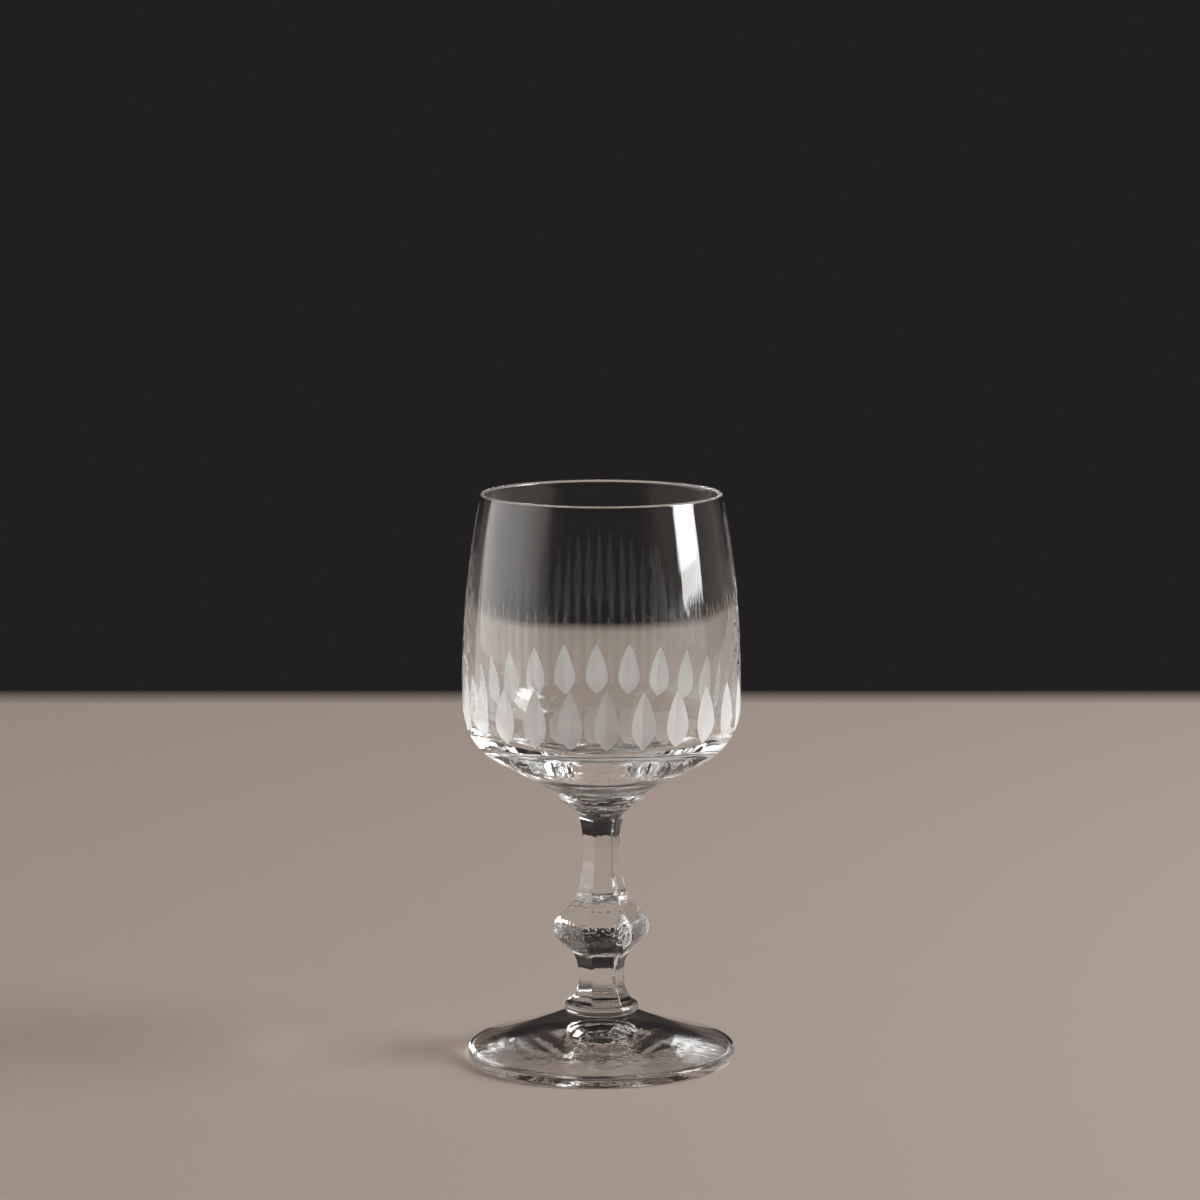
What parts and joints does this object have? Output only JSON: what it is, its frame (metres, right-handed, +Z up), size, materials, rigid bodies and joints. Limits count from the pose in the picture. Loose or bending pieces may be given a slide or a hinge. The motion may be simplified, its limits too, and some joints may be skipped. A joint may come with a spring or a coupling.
{
  "type": "cordial glass",
  "caption": "Small clear cut-glass stem glass: tulip bowl with a belt of ground petals, faceted knopped stem between two collars, and a domed foot, for liqueur.",
  "frame": {"origin": "centre of the foot's resting ring, on the table", "axes": "+Z up along the axis of the glass; -Y is the side that the picture looks at"},
  "size_m": [0.0488, 0.0488, 0.1],
  "materials": {
    "foot_glass": "polished",
    "foot_collar_glass": "polished",
    "stem_glass": "polished, faceted",
    "bowl_collar_glass": "polished",
    "bowl_glass": "polished, with ground matt petals"
  },
  "bodies": {
    "root": {"foot": "foot_glass", "foot_collar": "foot_collar_glass", "stem": "stem_glass", "bowl_collar": "bowl_collar_glass", "bowl": "bowl_glass"}
  },
  "joints": []
}
